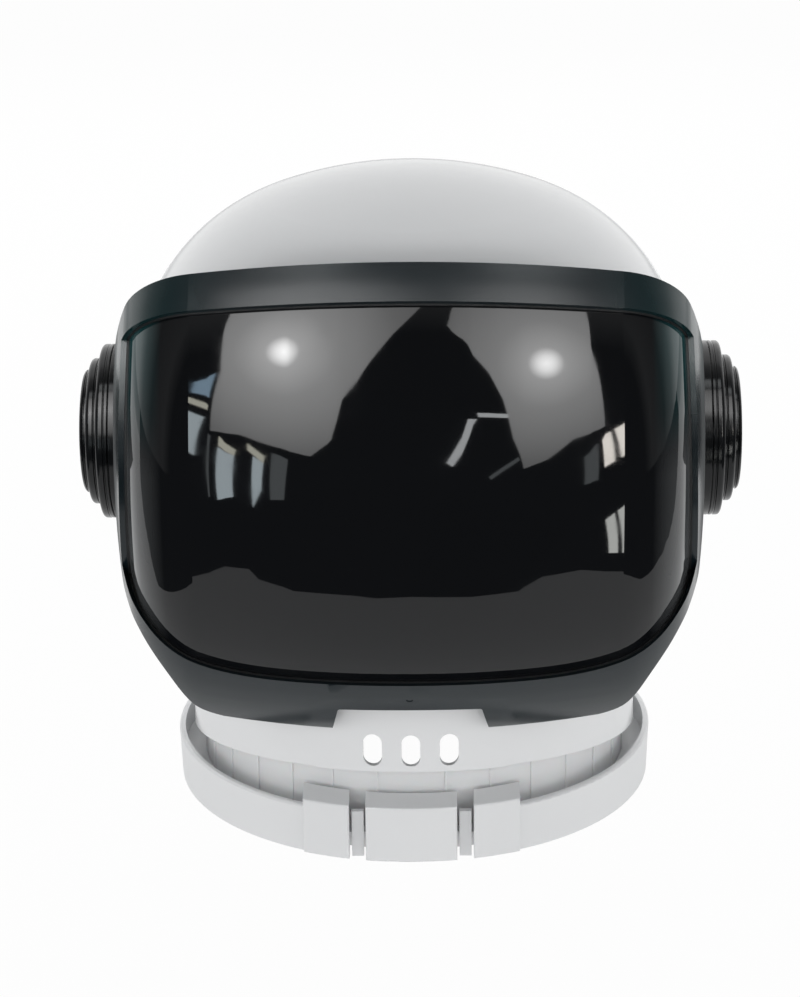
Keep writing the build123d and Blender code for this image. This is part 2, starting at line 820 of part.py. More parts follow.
# Visor frame
hub_inner_face = boss_face + friction_washer_thickness
slot_half_width = stop_pin_radius + stop_slot_clearance
with BuildPart() as visor_frame:
    with BuildSketch(front_plane):
        add(visor_outline(0))
    revolve(axis=pivot_axis)
    add(pivot_turned(visor_wall), mode=Mode.SUBTRACT)
    with BuildSketch(side_plane) as frame_side:
        reach = visor_radius * 2
        top = radians(frame_top_angle)
        bottom = radians(frame_bottom_angle)
        Polygon(
            (0, 0),
            (reach * cos(top), reach * sin(top)),
            (reach, 0),
            (reach * cos(bottom), -reach * sin(bottom)),
            (hub_radius / tan(bottom), -hub_radius),
            (0, -hub_radius),
            align=None,
        )
        Circle(hub_radius)
        hub_corner = (hub_radius * cos(top), hub_radius * sin(top))
        fillet(frame_side.vertices().sort_by_distance(hub_corner)[0], hub_blend)
    extrude(amount=visor_half_width + overrun, both=True, mode=Mode.INTERSECT)
    with BuildSketch(front_plane.offset(-visor_radius)):
        add(front_edge_region(frame_edge_shares, 0))
    extrude(amount=2 * visor_radius, mode=Mode.INTERSECT)
    add(window_space(0), mode=Mode.SUBTRACT)
    frame_foot = -visor_radius * sin(bottom)
    with BuildSketch(front_plane) as frame_notch:
        Polygon(
            (-notch_top_width / 2, frame_foot + notch_height),
            (notch_top_width / 2, frame_foot + notch_height),
            (notch_bottom_width / 2, frame_foot),
            (notch_bottom_width / 2, -visor_radius),
            (-notch_bottom_width / 2, -visor_radius),
            (-notch_bottom_width / 2, frame_foot),
            align=None,
        )
        fillet(frame_notch.vertices().group_by(Axis.Y)[-1], notch_corner)
    extrude(amount=visor_radius, mode=Mode.SUBTRACT)
    # Small round moulding mark above the notch
    with BuildSketch(visor_plane(0, asin((frame_foot + gate_mark_rise) / visor_radius), gate_mark_depth)):
        Circle(gate_mark_radius)
    extrude(amount=-overrun, mode=Mode.SUBTRACT)
    add(lens_screw_holes(lens_screw_radius), mode=Mode.SUBTRACT)
    for side in sides.values():
        with BuildSketch(outward_plane(side, seat_face)):
            Circle(bush_radius + running_clearance)
        extrude(amount=overrun, mode=Mode.SUBTRACT)
        # Arc slot round the stop pin
        slot_angles = [stop_pin_angle - share * visor_travel for share in (0, 0.5, 1)]
        slot_turns = [radians(local_angle(side, angle)) for angle in slot_angles]
        with BuildSketch(outward_plane(side, hub_inner_face - visor_wall / 2)):
            Circle(stop_pin_orbit + slot_half_width)
            Circle(stop_pin_orbit - slot_half_width, mode=Mode.SUBTRACT)
            wedge = [(2 * hub_radius * cos(turn), 2 * hub_radius * sin(turn)) for turn in slot_turns]
            Polygon((0, 0), *wedge, align=None, mode=Mode.INTERSECT)
            for turn in (slot_turns[0], slot_turns[2]):
                with Locations((stop_pin_orbit * cos(turn), stop_pin_orbit * sin(turn))):
                    Circle(slot_half_width)
        extrude(amount=3 * visor_wall, mode=Mode.SUBTRACT)
        # Pilot holes of the knob screws
        with BuildSketch(outward_plane(side, visor_half_width - knob_screw_bite)):
            for turn in knob_screw_turns:
                with PolarLocations(knob_screw_orbit, 1, start_angle=local_angle(side, turn)):
                    Circle(knob_screw_radius)
        extrude(amount=knob_screw_bite, mode=Mode.SUBTRACT)
save(visor_frame, "visor_frame")

# Smoked lens behind the frame
with BuildPart() as visor_lens:
    add(pivot_turned(lens_outer))
    add(pivot_turned(lens_inner), mode=Mode.SUBTRACT)
    add(window_space(lens_lap), mode=Mode.INTERSECT)
    add(lens_screw_holes(lens_screw_radius + lens_screw_clearance), mode=Mode.SUBTRACT)
save(visor_lens, "visor_lens")

# Rubber bead between lens and frame
with BuildPart() as lens_gasket:
    add(pivot_turned(gasket_outer))
    add(pivot_turned(lens_outer - seat_gap), mode=Mode.SUBTRACT)
    add(window_space(lens_lap - lens_edge_margin), mode=Mode.INTERSECT)
    add(window_space(-gasket_show), mode=Mode.SUBTRACT)
    add(lens_screw_holes(lens_screw_radius + lens_screw_clearance), mode=Mode.SUBTRACT)
save(lens_gasket, "lens_gasket")

# Screws of the lens, driven from inside
with BuildPart() as lens_screws:
    for x, angle in lens_screw_places:
        with BuildSketch(visor_plane(x, angle, visor_wall - lens_screw_bite)):
            Circle(lens_screw_radius)
        extrude(amount=lens_inner + seat_gap - visor_wall + lens_screw_bite)
        with BuildSketch(visor_plane(x, angle, lens_inner + seat_gap)):
            Circle(lens_screw_head_radius)
        extrude(amount=lens_screw_head_height)
save(lens_screws, "lens_screws")

# Knobs: a smooth plinth on the visor's hub, and a hollow cap of three stepped discs
plinth_top = visor_half_width + knob_base_height
cap_foot = plinth_top + knob_groove
cap_heights = [cap_foot]
for height in knob_step_heights:
    cap_heights.append(cap_heights[-1] + height)
spigot_radius = knob_base_radius - knob_wall - knob_spigot_clearance
plinth_floor = visor_half_width + knob_base_floor

cap_inside = cap_heights[3] - knob_wall
spigot_foot = plinth_floor + knob_spigot_clearance
spigot_inside = spigot_radius - knob_spigot_wall

for name, side in sides.items():
    with BuildPart() as knob_base:
        with BuildSketch(outward_plane(side, visor_half_width)):
            Circle(knob_base_radius)
        extrude(amount=knob_base_height)
        fillet(knob_base.edges().group_by(Axis.X)[-1 if side > 0 else 0], knob_groove)
        with BuildSketch(outward_plane(side, plinth_floor)):
            Circle(knob_base_radius - knob_wall)
        extrude(amount=knob_base_height, mode=Mode.SUBTRACT)
        with BuildSketch(outward_plane(side, visor_half_width)):
            Circle(knob_base_hole)
            for turn in knob_screw_turns:
                with PolarLocations(knob_screw_orbit, 1, start_angle=local_angle(side, turn)):
                    Circle(knob_screw_radius + lens_screw_clearance)
        extrude(amount=knob_base_height, mode=Mode.SUBTRACT)
    save(knob_base, name + "_knob_base")

    # Stepped cap with a spigot that drops inside the plinth's wall
    with BuildPart() as knob_cap:
        with BuildSketch(Plane(origin=front_plane.origin, x_dir=(0, 0, 1), z_dir=(0, side, 0))) as steps:
            with BuildLine():
                Polyline(
                    (0, cap_heights[3]),
                    (knob_step_radii[2], cap_heights[3]),
                    (knob_step_radii[2], cap_heights[2]),
                    (knob_step_radii[1], cap_heights[2]),
                    (knob_step_radii[1], cap_heights[1]),
                    (knob_step_radii[0], cap_heights[1]),
                    (knob_step_radii[0], cap_foot),
                    (spigot_radius, cap_foot),
                    (spigot_radius, spigot_foot),
                    (spigot_inside, spigot_foot),
                    (spigot_inside, cap_heights[1] - knob_wall),
                    (knob_step_radii[1] - knob_wall, cap_heights[1] - knob_wall),
                    (knob_step_radii[1] - knob_wall, cap_heights[2] - knob_wall),
                    (knob_step_radii[2] - knob_wall, cap_heights[2] - knob_wall),
                    (knob_step_radii[2] - knob_wall, cap_inside),
                    (0, cap_inside),
                    close=True,
                )
            make_face()
            rims = [
                steps.vertices().sort_by_distance((radius, height))[0]
                for radius, height in zip(knob_step_radii, cap_heights[1:])
            ]
            fillet(rims, knob_step_round)
            for radius, low in zip(knob_step_radii, cap_heights):
                with Locations((radius, low + knob_bead_share * knob_step_heights[0])):
                    Circle(knob_bead_radius, mode=Mode.SUBTRACT)
        revolve(axis=pivot_axis)
    save(knob_cap, name + "_knob_cap")

    # Small pan-head screws that fix the plinth to the hub
    with BuildPart() as knob_screws:
        for turn in knob_screw_turns:
            with BuildSketch(outward_plane(side, visor_half_width - knob_screw_bite)):
                with PolarLocations(knob_screw_orbit, 1, start_angle=local_angle(side, turn)):
                    Circle(knob_screw_radius)
            extrude(amount=knob_screw_bite + knob_base_floor)
            with BuildSketch(outward_plane(side, plinth_floor)):
                with PolarLocations(knob_screw_orbit, 1, start_angle=local_angle(side, turn)):
                    Circle(knob_screw_head_radius)
            extrude(amount=knob_screw_head_height)
    save(knob_screws, name + "_knob_screws")

# Pivots: a bolt through the shell's boss, a bush that the hub turns on, washers and a lock nut
bush_end = visor_half_width + hub_end_play
washer_end = bush_end + pivot_washer_thickness
nut_end = washer_end + nut_height
for name, side in sides.items():
    with BuildPart() as pivot_bolt:
        with BuildSketch(outward_plane(side, seat_face)):
            Circle(bolt_head_radius)
        extrude(amount=-bolt_head_height)
        fillet(pivot_bolt.edges().group_by(Axis.X)[0 if side > 0 else -1], bolt_head_height / 2)
        with BuildSketch(outward_plane(side, seat_face)):
            Circle(bolt_radius)
        extrude(amount=nut_end + bolt_past_nut - seat_face)
    save(pivot_bolt, name + "_pivot_bolt")

    with BuildPart() as pivot_bush:
        with BuildSketch(outward_plane(side, boss_face)):
            Circle(bush_radius)
            Circle(bolt_radius + bolt_clearance, mode=Mode.SUBTRACT)
        extrude(amount=bush_end - boss_face)
    save(pivot_bush, name + "_pivot_bush")

    with BuildPart() as friction_washer:
        with BuildSketch(outward_plane(side, boss_face)):
            Circle(friction_washer_radius)
            Circle(bush_radius + running_clearance, mode=Mode.SUBTRACT)
        extrude(amount=friction_washer_thickness)
    save(friction_washer, name + "_friction_washer")

    with BuildPart() as pivot_washer:
        with BuildSketch(outward_plane(side, bush_end)):
            Circle(pivot_washer_radius)
            Circle(bolt_radius + bolt_clearance, mode=Mode.SUBTRACT)
        extrude(amount=pivot_washer_thickness)
    save(pivot_washer, name + "_pivot_washer")

    with BuildPart() as lock_nut:
        with BuildSketch(outward_plane(side, washer_end)):
            RegularPolygon(nut_across_flats / 2, 6, major_radius=False)
            Circle(bolt_radius + running_clearance, mode=Mode.SUBTRACT)
        extrude(amount=nut_height)
    save(lock_nut, name + "_lock_nut")
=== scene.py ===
import math

import bmesh
import bpy
from mathutils import Matrix, Vector


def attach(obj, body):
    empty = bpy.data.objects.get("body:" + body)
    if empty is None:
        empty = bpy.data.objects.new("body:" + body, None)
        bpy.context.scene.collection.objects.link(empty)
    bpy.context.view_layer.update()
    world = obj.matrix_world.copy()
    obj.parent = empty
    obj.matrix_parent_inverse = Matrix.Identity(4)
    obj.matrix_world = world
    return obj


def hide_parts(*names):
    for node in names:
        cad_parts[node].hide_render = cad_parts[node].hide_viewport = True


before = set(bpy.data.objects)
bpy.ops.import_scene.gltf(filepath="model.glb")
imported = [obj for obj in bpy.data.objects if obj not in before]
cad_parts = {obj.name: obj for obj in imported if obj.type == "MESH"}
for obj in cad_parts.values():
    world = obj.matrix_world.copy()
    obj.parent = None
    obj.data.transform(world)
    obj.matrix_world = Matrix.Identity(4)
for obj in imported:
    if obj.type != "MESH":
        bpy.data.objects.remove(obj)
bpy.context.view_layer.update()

# Front shell: the moulded white dome with the face opening, the flat pivot bosses and the chin.
# It is one injection-moulded piece of white ABS, polished outside, with a faint orange peel and
# a few dull patches where hands have held it.


class Wire:
    """One socket of a material, so that masks and patterns are written as plain sums."""

    def __init__(self, tree, socket=None):
        self.tree = tree
        self.socket = socket

    def node(self, kind, settings=(), out=0, **sockets):
        """A new node's output. An input goes by its name with _ for a space, or by i and its number."""
        made = self.tree.nodes.new("ShaderNode" + kind)
        for name, value in dict(settings).items():
            if name == "stops":
                elements = made.color_ramp.elements
                while len(elements) < len(value):
                    elements.new(1.0)
                for stop, (place, color) in zip(elements, value):
                    stop.position = place
                    stop.color = color
            else:
                setattr(made, name, value)
        for name, value in sockets.items():
            key = int(name[1:]) if name[0] == "i" and name[1:].isdigit() else name.replace("_", " ")
            if isinstance(value, Wire):
                self.tree.links.new(value.socket, made.inputs[key])
            else:
                made.inputs[key].default_value = value
        return Wire(self.tree, made.outputs[out])

    def beside(self, out):
        """Another output of the same node."""
        return Wire(self.tree, self.socket.node.outputs[out])

    def math(self, operation, *values):
        return self.node("Math", {"operation": operation}, **{f"i{k}": v for k, v in enumerate(values)})

    def __abs__(self):
        return self.math("ABSOLUTE", self)

    def __add__(self, other):
        return self.math("ADD", self, other)

    __radd__ = __add__

    def __mul__(self, other):
        return self.math("MULTIPLY", self, other)

    __rmul__ = __mul__

    def __rsub__(self, other):
        return self.math("SUBTRACT", other, self)


class Finish:
    """A material of one moulded, turned or woven finish, with its shader and its object coordinates."""

    def __init__(self, name, roughness, **constants):
        """The roughness is a mean, which a fed pattern replaces."""
        self.material = bpy.data.materials.new(name)
        self.material.use_nodes = True
        tree = self.material.node_tree
        self.shader = tree.nodes["Principled BSDF"]
        self.shader.inputs["Roughness"].default_value = roughness
        for socket, value in constants.items():
            self.shader.inputs[socket.replace("_", " ")].default_value = value
        self.wire = Wire(tree)
        self.place = self.wire.node("TexCoord", out="Object")

    def feed(self, socket, value):
        self.wire.tree.links.new(value.socket, self.shader.inputs[socket])

    def along(self, axis):
        return self.wire.node("SeparateXYZ", out=axis, Vector=self.place)

    def noise(self, size, detail=2.0, roughness=0.5):
        return self.wire.node(
            "TexNoise", out="Fac", Vector=self.place, Scale=1 / size, Detail=detail, Roughness=roughness
        )

    def mixed(self, mask, first, second):
        return self.wire.node("Mix", {"data_type": "RGBA"}, out=2, i0=mask, i6=first, i7=second)

    def tint(self, mask, first, second):
        self.feed("Base Color", self.mixed(mask, first, second))

    def bump(self, height, depth, strength):
        self.feed("Normal", self.wire.node("Bump", Height=height, Distance=depth, Strength=strength))

    def grain(self, size, depth, strength, detail=2.0):
        self.bump(self.noise(size, detail), depth, strength)

    def dress(self, *nodes):
        for name in nodes:
            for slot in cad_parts[name].material_slots:
                slot.material = self.material


def ramp(mask, low, high):
    """0 below low, 1 above high and straight between them."""
    return mask.node("MapRange", {"clamp": True}, Value=mask, From_Min=low, From_Max=high)


shell_tints = (0.80, 0.805, 0.815, 1), (0.845, 0.85, 0.855, 1)
white = Finish("shell_white", 0.22, Coat_Weight=0.4, Coat_Roughness=0.06, IOR=1.5)
white.tint(white.noise(size=0.09, detail=3.0), *shell_tints)
handled = ramp(white.noise(size=0.035, detail=5.0, roughness=0.6), 0.5, 0.75)
white.feed("Roughness", 0.17 + 0.10 * handled)
white.grain(size=0.0022, depth=0.00005, strength=0.35)
white.dress("front_shell")

# Rear shell: the back of the dome, moulded from the same white ABS and lapped into the front
# shell behind the pivots, where a fine parting line shows.
white.dress("rear_shell")

# Neck band: a thin ribbed cylinder of natural white plastic that closes the neck under the chin.
# It is thinner than the shell, so it lets a little light through and looks greyer.
band_tints = (0.77, 0.78, 0.785, 1), (0.82, 0.825, 0.83, 1)
band = Finish("band_white", 0.34, IOR=1.47, Subsurface_Weight=0.08, Subsurface_Scale=0.004)
band.tint(band.noise(size=0.05, detail=3.0), *band_tints)
band.feed("Roughness", 0.28 + 0.12 * band.noise(size=0.02, detail=4.0))
band.grain(size=0.0018, depth=0.00005, strength=0.4)
band.dress("neck_band")

# Neck ring: the foot of the helmet, a hollow white moulding with three latch-like blocks and two
# recessed bars in front, screwed to the band from below.
ring_tints = (0.77, 0.775, 0.785, 1), (0.81, 0.815, 0.82, 1)
ring = Finish("ring_white", 0.3, IOR=1.5)
ring.tint(ring.noise(size=0.06, detail=3.0), *ring_tints)
ring.feed("Roughness", 0.28 + 0.06 * ring.noise(size=0.05))
ring.grain(size=0.002, depth=0.00005, strength=0.35)
ring.dress("neck_ring")

# Visor frame: one moulding of blue-black ABS with a satin, lightly textured face. Its side arms
# end in the hubs that turn on the pivots, and their outer faces are duller. Its upper corners
# carry a painted teal glow, the same light that shows in the lens corners.
frame_tints = (0.006, 0.011, 0.014, 1), (0.010, 0.017, 0.021, 1)
# Painted teal light: the frame's upper corners are tinted brighter and greener than the moulding.
painted_frame_glow_tint = (0.006, 0.024, 0.026, 1)
painted_frame_glow_side = 0.085, 0.125
painted_frame_glow_height = 0.215, 0.245
arm_face_side = 0.1355, 0.139
satin = Finish("frame_blue_black", 0.19, IOR=1.5)
frame_side = abs(satin.along("X"))
painted_frame_glow = ramp(frame_side, *painted_frame_glow_side) * ramp(satin.along("Z"), *painted_frame_glow_height)
satin.tint(painted_frame_glow, satin.mixed(satin.noise(size=0.05, detail=4.0), *frame_tints), painted_frame_glow_tint)
arm_face = ramp(frame_side, *arm_face_side)
satin.feed("Roughness", 0.17 + 0.06 * satin.noise(size=0.015, detail=5.0) + 0.3 * arm_face)
satin.grain(size=0.0009, depth=0.00004, strength=0.5, detail=3.0)
satin.dress("visor_frame")

# Visor lens: a wrap-round sheet of dark smoked polycarbonate behind the frame, glossy enough to
# mirror the room. Faint wiping marks dull the gloss. Its upper corners carry a painted teal glow of
# light from inside, and a painted pale light lies near its side edges in the lower part.
pivot_height = 0.1815
smoke_tint = (0.0045, 0.005, 0.006, 1)
# Painted light: a pale glow near the side edges and a teal glow in the upper corners, both put in the base
# colour.
painted_edge_light_tint = (0.075, 0.078, 0.080, 1)
painted_corner_glow_tint = (0.018, 0.095, 0.100, 1)
painted_edge_light_side = 0.112, 0.132
painted_edge_light_top = pivot_height + 0.02, pivot_height + 0.05
painted_corner_glow_side = 0.112, 0.136
painted_corner_glow_height = pivot_height + 0.03, pivot_height + 0.085
smoke = Finish("lens_smoke", 0.05, IOR=1.52)
lens_side = abs(smoke.along("X"))
lens_height = smoke.along("Z")
# Masks of the painted pale edge light and of the painted teal corner glow.
painted_edge_light = ramp(lens_side, *painted_edge_light_side) * (1 - ramp(lens_height, *painted_edge_light_top))
painted_teal_glow = ramp(lens_side, *painted_corner_glow_side) * ramp(lens_height, *painted_corner_glow_height)
smoke.tint(painted_teal_glow, smoke.mixed(painted_edge_light, smoke_tint, painted_edge_light_tint), painted_corner_glow_tint)
wiped = ramp(smoke.noise(size=0.03, detail=6.0, roughness=0.65), 0.5, 0.9)
smoke.feed("Roughness", 0.03 + 0.05 * wiped)
smoke.dress("visor_lens")

# Lens gasket: a thin black rubber bead that the lens screws clamp between the lens and the frame.
# It keeps the two from rattling.
rubber_tints = (0.010, 0.011, 0.012, 1), (0.018, 0.019, 0.020, 1)
rubber = Finish("gasket_rubber", 0.6, IOR=1.5)
rubber.tint(rubber.noise(size=0.01), *rubber_tints)
rubber.grain(size=0.0006, depth=0.00003, strength=0.5)
rubber.dress("lens_gasket")

# Side knobs: a smooth round plinth screwed to each hub and a hollow cap of three stepped discs,
# moulded in glossy black ABS.
knob_tints = (0.004, 0.0045, 0.0055, 1), (0.008, 0.009, 0.010, 1)
gloss = Finish("knob_black", 0.14, IOR=1.45)
gloss.tint(gloss.noise(size=0.03, detail=3.0), *knob_tints)
gripped = ramp(gloss.noise(size=0.01, detail=5.0), 0.45, 0.85)
gloss.feed("Roughness", 0.12 + 0.12 * gripped)
gloss.dress("left_knob_base", "left_knob_cap", "right_knob_base", "right_knob_cap")

# Screws: bright zinc-plated steel, finely marked by the die. They hold the lens to the frame, the
# two shells together, the shells and the ring to the band, and the knobs to the hubs.
zinc_tints = (0.50, 0.51, 0.52, 1), (0.66, 0.67, 0.68, 1)
zinc = Finish("screw_steel", 0.3, Metallic=1.0)
zinc.tint(zinc.noise(size=0.002), *zinc_tints)
zinc.feed("Roughness", 0.25 + 0.15 * zinc.noise(size=0.0008))
zinc.dress(
    "lens_screws", "seam_screws", "collar_screws", "ring_screws", "left_knob_screws", "right_knob_screws"
)

# Pivots: on each side a bolt, a fixed bush that the hub turns on, a nylon thrust washer, a steel
# washer and a lock nut, all hidden by the knob.
steel_tints = (0.42, 0.43, 0.45, 1), (0.56, 0.57, 0.59, 1)
brass_tints = (0.62, 0.45, 0.20, 1), (0.74, 0.56, 0.28, 1)
nylon_tints = (0.66, 0.64, 0.58, 1), (0.74, 0.72, 0.66, 1)
steel = Finish("pivot_steel", 0.35, Metallic=1.0)
steel.tint(steel.noise(size=0.003), *steel_tints)
steel.feed("Roughness", 0.3 + 0.15 * steel.noise(size=0.001))
brass = Finish("bush_brass", 0.3, Metallic=1.0)
brass.tint(brass.noise(size=0.003), *brass_tints)
brass.feed("Roughness", 0.26 + 0.12 * brass.noise(size=0.001))
nylon = Finish("washer_nylon", 0.45, IOR=1.53)
nylon.tint(nylon.noise(size=0.004), *nylon_tints)
nylon.grain(size=0.001, depth=0.00003, strength=0.4)
for side in ("left", "right"):
    steel.dress(side + "_pivot_bolt", side + "_pivot_washer", side + "_lock_nut")
    brass.dress(side + "_pivot_bush")
    nylon.dress(side + "_friction_washer")

# Pads: blocks of soft foam sewn into black spacer mesh, with hook tape behind that holds them to
# the shell. They swell between their sewn edges.
thread_spacing = 0.0030
wave_at_scale_one = 0.314  # a wave texture of scale 1 repeats after this many metres
cloth_tints = (0.010, 0.010, 0.012, 1), (0.045, 0.046, 0.05, 1)
cloth = Finish("pad_cloth", 0.85, Sheen_Weight=0.25, Sheen_Roughness=0.5)
threads = [
    cloth.wire.node(
        "TexWave", {"wave_type": "BANDS", "bands_direction": way, "wave_profile": "SIN"}, out="Fac",
        Vector=cloth.place, Scale=wave_at_scale_one / thread_spacing, Distortion=0.6, Detail=1.0,
    )
    for way in ("X", "Y", "Z")
]
knit = threads[0] * threads[1] + threads[1] * threads[2] + threads[2] * threads[0]
cloth.tint(ramp(knit, 0.2, 1.6), *cloth_tints)
cloth.bump(knit, depth=0.0003, strength=0.6)


def placed(name, shape, material):
    """An object of a finished bmesh in one material, in the scene."""
    mesh = bpy.data.meshes.new(name)
    shape.to_mesh(mesh)
    shape.free()
    mesh.materials.append(material)
    piece = bpy.data.objects.new(name, mesh)
    bpy.context.scene.collection.objects.link(piece)
    return piece


def take_shape(piece):
    """Makes a piece's modified mesh its own and drops its modifiers."""
    view = bpy.context.evaluated_depsgraph_get()
    shaped = bpy.data.meshes.new_from_object(piece.evaluated_get(view), depsgraph=view)
    piece.modifiers.clear()
    piece.data = shaped


def swollen_pad(node):
    """The foam pad of a CAD node as a sewn cushion: rounded first, then blown up by cloth pressure."""
    merge_distance = 0.00002
    voxel = 0.004
    smooth_passes = 6
    inset = 0.0025
    most_swelling = 0.0035
    pressure = 4.0
    swelling_frames = 20
    shape = bmesh.new()
    shape.from_mesh(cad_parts[node].data)
    bmesh.ops.remove_doubles(shape, verts=shape.verts, dist=merge_distance)
    bmesh.ops.recalc_face_normals(shape, faces=shape.faces)
    piece = placed(node + "_cushion", shape, cloth.material)
    voxels = piece.modifiers.new("remesh", "REMESH")
    voxels.mode = "VOXEL"
    voxels.voxel_size = voxel
    take_shape(piece)
    shape = bmesh.new()
    shape.from_mesh(piece.data)
    for _ in range(smooth_passes):
        bmesh.ops.smooth_vert(
            shape, verts=shape.verts, factor=0.5, use_axis_x=True, use_axis_y=True, use_axis_z=True
        )
    shape.normal_update()
    for point in shape.verts:
        point.co -= point.normal * inset
    shape.to_mesh(piece.data)
    shape.free()
    start = [point.co.copy() for point in piece.data.vertices]
    sim = piece.modifiers.new("cloth", "CLOTH")
    sim.settings.use_pressure = True
    sim.settings.uniform_pressure_force = pressure
    sim.settings.effector_weights.gravity = 0.0
    for step in range(1, swelling_frames + 1):
        bpy.context.scene.frame_set(step)
    take_shape(piece)
    bpy.context.scene.frame_set(1)
    for point, first in zip(piece.data.vertices, start):
        move = point.co - first
        if move.length > most_swelling:
            point.co = first + move * (most_swelling / move.length)
    smooth = piece.modifiers.new("smooth", "SUBSURF")
    smooth.levels = 1
    smooth.render_levels = 1
    take_shape(piece)
    for face in piece.data.polygons:
        face.use_smooth = True
    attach(piece, "shell")
    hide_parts(node)


for node in ("crown_pad", "rear_pad", "left_cheek_pad", "right_cheek_pad"):
    swollen_pad(node)

# Table: the helmet stands on a wide sheet of white paper. The camera sees the paper, like the world
# around it, as plain white, and the paper lights the helmet's underside evenly from below.
table_radius = 4.2
paper_tint = (0.86, 0.86, 0.86, 1)
pure_white = (1, 1, 1, 1)
paper_white_share = 0.97
mirrored_white_share = 0.3
bounced_light = 0.7
shape = bmesh.new()
bmesh.ops.create_circle(shape, cap_ends=True, segments=96, radius=table_radius)
paper = Finish("table_white", 0.7, Base_Color=paper_tint, Specular_IOR_Level=0.0)
floor = placed("table", shape, paper.material)
camera_rays = paper.wire.node("LightPath", out="Is Camera Ray")
plain_white = paper.wire.node("Emission", Color=pure_white, Strength=1.0)
bounce = paper.wire.node("Emission", Color=pure_white, Strength=bounced_light)
paper_lit = Wire(paper.wire.tree, paper.shader.outputs["BSDF"])
paper_lit = paper.wire.node("MixShader", i0=camera_rays.beside("Is Diffuse Ray"), i1=paper_lit, i2=bounce)
white_share = paper_white_share * camera_rays + mirrored_white_share * camera_rays.beside("Is Glossy Ray")
paper_shown = paper.wire.node("MixShader", i0=white_share, i1=paper_lit, i2=plain_white)
paper_surface = paper.wire.tree.nodes["Material Output"].inputs["Surface"]
paper.wire.tree.links.new(paper_shown.socket, paper_surface)

# Room: a round studio whose walls are dark behind the camera and white behind the helmet. Only
# reflections show it. Its dark floor starts at the front edge of the white paper, along a listed outline.


def greys(mask, stops):
    """Grey values between stops along a mask."""
    colors = [(place, (grey, grey, grey, 1)) for place, grey in stops]
    return mask.node("ValToRGB", {"stops": colors}, Fac=mask)


def glowing(name, strength, color=pure_white):
    """A black finish that only glows."""
    black = (0, 0, 0, 1)
    return Finish(
        name, 0.5, Base_Color=black, Specular_IOR_Level=0.0, Emission_Strength=strength, Emission_Color=color
    )


room_radius = 4.0
wall_shading_start = -room_radius
wall_shading_end = 2.0
wall_greys = [(0.27, 0.03), (0.38, 0.21), (0.62, 0.12), (0.82, 0.45), (0.95, 1.0)]
floor_height = 0.0006
floor_to_wall = 0.001, 0.002
paper_edge = [
    (-4.1, 1.4), (-0.9, 0.15), (-0.50, -0.07), (-0.33, -0.13), (-0.20, -0.29), (-0.185, -0.375),
    (-0.16, -0.375), (-0.14, -0.34), (-0.10, -0.312), (-0.05, -0.309), (-0.03, -0.303), (0.0, -0.308),
    (0.05, -0.303), (0.09, -0.31), (0.12, -0.35), (0.16, -0.36), (0.20, -0.325), (0.27, -0.25),
    (0.40, -0.17), (0.65, 0.065), (1.5, 0.7), (4.1, 1.9),
]
floor_front = [(4.4, -1.5), (2.5, -3.9), (0.0, -4.6), (-2.5, -3.9), (-4.4, -1.5)]
# Two dark mats lie behind the helmet and show mainly in the sides of the visor's frame, as painted shade
# mirrored there.
right_shade_mat = [(0.15, 0.44), (0.70, 0.40), (0.70, 0.75), (0.15, 0.70)]
left_shade_mat = [(-x, y) for x, y in right_shade_mat]
shape = bmesh.new()
bmesh.ops.create_uvsphere(shape, u_segments=64, v_segments=32, radius=room_radius)
bmesh.ops.bisect_plane(
    shape, geom=shape.verts[:] + shape.edges[:] + shape.faces[:],
    plane_co=(0, 0, 0), plane_no=(0, 0, 1), clear_inner=True,
)
for outline in (paper_edge + floor_front, left_shade_mat, right_shade_mat):
    shape.faces.new([shape.verts.new((x, y, floor_height)) for x, y in outline])
dark = glowing("room_dark", 1.0)
room = placed("room", shape, dark.material)
backwards = ramp(dark.along("Y"), wall_shading_start, wall_shading_end)
above_floor = ramp(dark.along("Z"), *floor_to_wall)
dark.feed("Emission Color", greys(backwards * above_floor, wall_greys))

# Lights that the visor mirrors: two white soft boxes over the camera, windows with pale beams on the
# left and on the right, and a bent tube under the ceiling. The lowest panes shine on the dark floor.
aim = Vector((0, -0.1, 0.18))
bulb_stretch = (1.5, 0.55, 0.55)
# A soft box is brightest at its bulb, and its grey goes by the stretched distance from there in metres.
bulb_greys = [(0.0, 1.0), (0.04, 0.8), (0.09, 0.33), (0.25, 0.21), (0.6, 0.105), (1.0, 0.05)]


def toward(azimuth, elevation):
    """Unit vector from the helmet. Azimuth 0 is the camera's side, and positive is to its right."""
    az, el = math.radians(azimuth), math.radians(elevation)
    return Vector((math.sin(az) * math.cos(el), -math.cos(az) * math.cos(el), math.sin(el)))


def card(name, outlines, distance, strength, color, bulb=None):
    """Flat glowing cards, each given by the azimuth and elevation in degrees at which its corners stand."""
    shape = bmesh.new()
    for outline in outlines:
        ways = [toward(*corner) for corner in outline]
        facing = sum(ways, Vector()).normalized()
        shape.faces.new([shape.verts.new(aim + way * (distance / way.dot(facing))) for way in ways])
    shine = glowing(name, strength, color)
    if bulb:
        way = toward(*bulb)
        center = tuple(aim + way * (distance / way.dot(facing)))
        away = shine.wire.node("VectorMath", {"operation": "SUBTRACT"}, i0=shine.place, i1=center)
        away = shine.wire.node("VectorMath", {"operation": "MULTIPLY"}, i0=away, i1=bulb_stretch)
        away = shine.wire.node("VectorMath", {"operation": "LENGTH"}, out="Value", i0=away)
        shine.feed("Emission Color", greys(away, bulb_greys))
    return placed(name, shape, shine.material)


